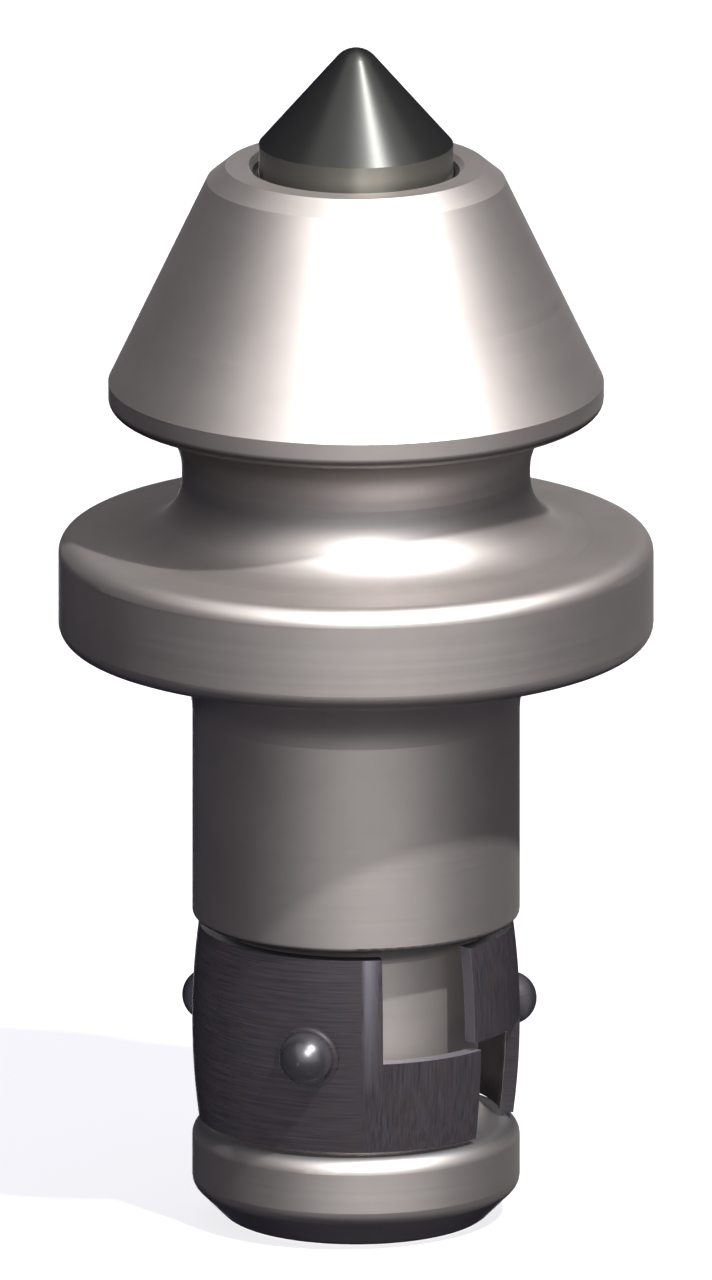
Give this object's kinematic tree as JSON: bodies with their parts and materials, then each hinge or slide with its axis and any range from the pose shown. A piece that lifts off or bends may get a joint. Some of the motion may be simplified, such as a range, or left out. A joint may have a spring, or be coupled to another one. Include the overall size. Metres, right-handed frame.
{
  "type": "auger tooth",
  "caption": "Round-shank conical auger tooth with a brazed carbide tip, a flange over the shank and a slotted spring sleeve captive on its neck.",
  "frame": {"origin": "centre of the flat bottom of the foot, on the tool's axis", "axes": "+Z along the tool's axis towards the point of the carbide tip, -Y towards the side that has the front bump and the slot at rest"},
  "size_m": [0.0544, 0.0544, 0.1103],
  "materials": {
    "forged_steel": "satin",
    "tungsten_carbide": "gloss",
    "silver_braze": "satin",
    "spring_steel": "satin"
  },
  "bodies": {
    "pick": {"pick_body": "forged_steel", "carbide_tip": "tungsten_carbide", "braze_joint": "silver_braze"},
    "retainer": {"retaining_sleeve": "spring_steel"}
  },
  "joints": [
    {"name": "retainer_spin", "type": "hinge", "parent": "pick", "child": "retainer", "pos_m": [0, 0, 0.0186], "axis": [0, 0, 1], "continuous": true}
  ]
}
